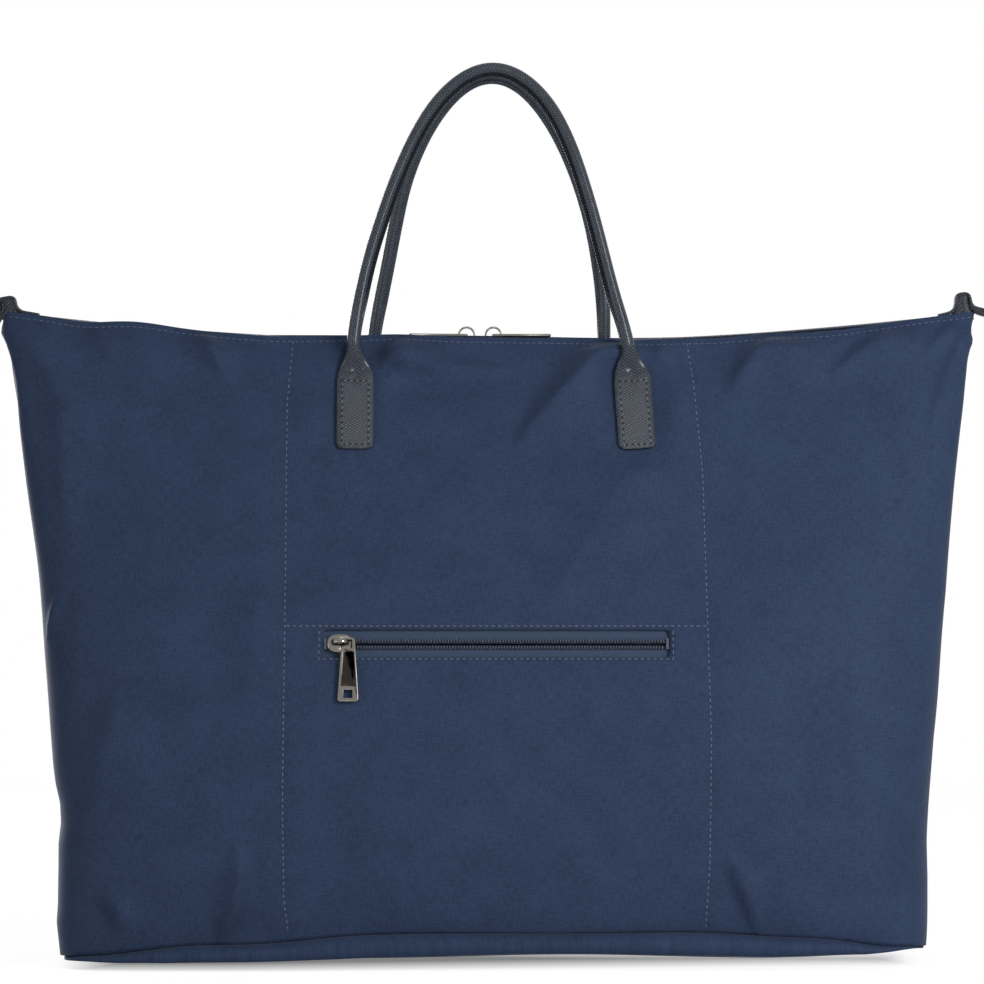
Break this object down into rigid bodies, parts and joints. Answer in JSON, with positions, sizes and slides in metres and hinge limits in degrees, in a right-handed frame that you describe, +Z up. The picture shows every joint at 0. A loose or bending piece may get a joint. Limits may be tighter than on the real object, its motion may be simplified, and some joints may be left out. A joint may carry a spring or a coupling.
{
  "type": "foldable tote bag",
  "caption": "Large nylon travel tote with a wide zipped mouth, rolled leather handles on sewn tabs, end loops and a zipped front pocket.",
  "frame": {"origin": "middle of the base's underside, on the surface that the bag stands on", "axes": "+X along the bag to the right seen from the front, +Y to the back, +Z up"},
  "size_m": [0.5946, 0.2, 0.5186],
  "materials": {
    "nylon": "fine woven navy nylon with a slight sheen",
    "lining": "thin navy lining cloth",
    "tape": "woven zip tape",
    "coil": "moulded nylon coil",
    "leather": "navy leather with an embossed crosshatch",
    "rope": "twisted cotton rope",
    "backing": "dense felt",
    "nickel": "polished nickel plate"
  },
  "bodies": {
    "bag": {"front_panel": "nylon", "back_panel": "nylon", "base_panel": "nylon", "pocket_lining": "lining", "side_binding_left": "tape", "side_binding_right": "tape", "top_tape_front": "tape", "top_tape_back": "tape", "pocket_tape_upper": "tape", "pocket_tape_lower": "tape", "top_coil_front": "coil", "top_coil_back": "coil", "pocket_coil_upper": "coil", "pocket_coil_lower": "coil", "top_stop_left": "nickel", "top_stop_right": "nickel", "pocket_stop_left": "nickel", "pocket_stop_right": "nickel", "front_tab_left": "leather", "front_backing_left": "backing", "front_tab_right": "leather", "front_backing_right": "backing", "rear_tab_left": "leather", "rear_backing_left": "backing", "rear_tab_right": "leather", "rear_backing_right": "backing", "end_loop_left": "leather", "end_loop_right": "leather"},
    "front_handle": {"front_handle": "leather", "front_handle_core": "rope"},
    "rear_handle": {"rear_handle": "leather", "rear_handle_core": "rope"},
    "pocket_slider": {"pocket_slider": "nickel", "pocket_bail": "nickel"},
    "pocket_pull": {"pocket_pull": "nickel"},
    "top_left_slider": {"top_left_slider": "nickel", "top_left_bail": "nickel"},
    "top_left_pull": {"top_left_pull": "nickel"},
    "top_right_slider": {"top_right_slider": "nickel", "top_right_bail": "nickel"},
    "top_right_pull": {"top_right_pull": "nickel"}
  },
  "joints": [
    {"name": "front_handle_swing", "type": "hinge", "parent": "bag", "child": "front_handle", "pos_m": [0, -0.0227, 0.345], "axis": [1, 0, 0], "range_deg": [0, 150]},
    {"name": "rear_handle_swing", "type": "hinge", "parent": "bag", "child": "rear_handle", "pos_m": [0, 0.0227, 0.345], "axis": [-1, 0, 0], "range_deg": [0, 150]},
    {"name": "pocket_slider_run", "type": "slide", "parent": "bag", "child": "pocket_slider", "axis": [1, 0, 0], "range_m": [0, 0.177]},
    {"name": "pocket_pull_swing", "type": "hinge", "parent": "pocket_slider", "child": "pocket_pull", "pos_m": [-0.0815, -0.07784, 0.18471], "axis": [0, -0.965, 0.2623], "range_deg": [-30, 100]},
    {"name": "top_left_slider_run", "type": "hinge", "parent": "bag", "child": "top_left_slider", "pos_m": [0, 0, 2.66963], "axis": [0, 1, 0], "range_deg": [0, 5.15]},
    {"name": "top_left_pull_flip", "type": "hinge", "parent": "top_left_slider", "child": "top_left_pull", "pos_m": [-0.01477, 0, 0.36085], "axis": [0, 1, 0], "range_deg": [0, 100]},
    {"name": "top_right_slider_run", "type": "hinge", "parent": "bag", "child": "top_right_slider", "pos_m": [0, 0, 2.66963], "axis": [0, -1, 0], "range_deg": [0, 5.5]},
    {"name": "top_right_pull_flip", "type": "hinge", "parent": "top_right_slider", "child": "top_right_pull", "pos_m": [0.0008, 0, 0.3608], "axis": [0, -1, 0], "range_deg": [0, 100]}
  ]
}
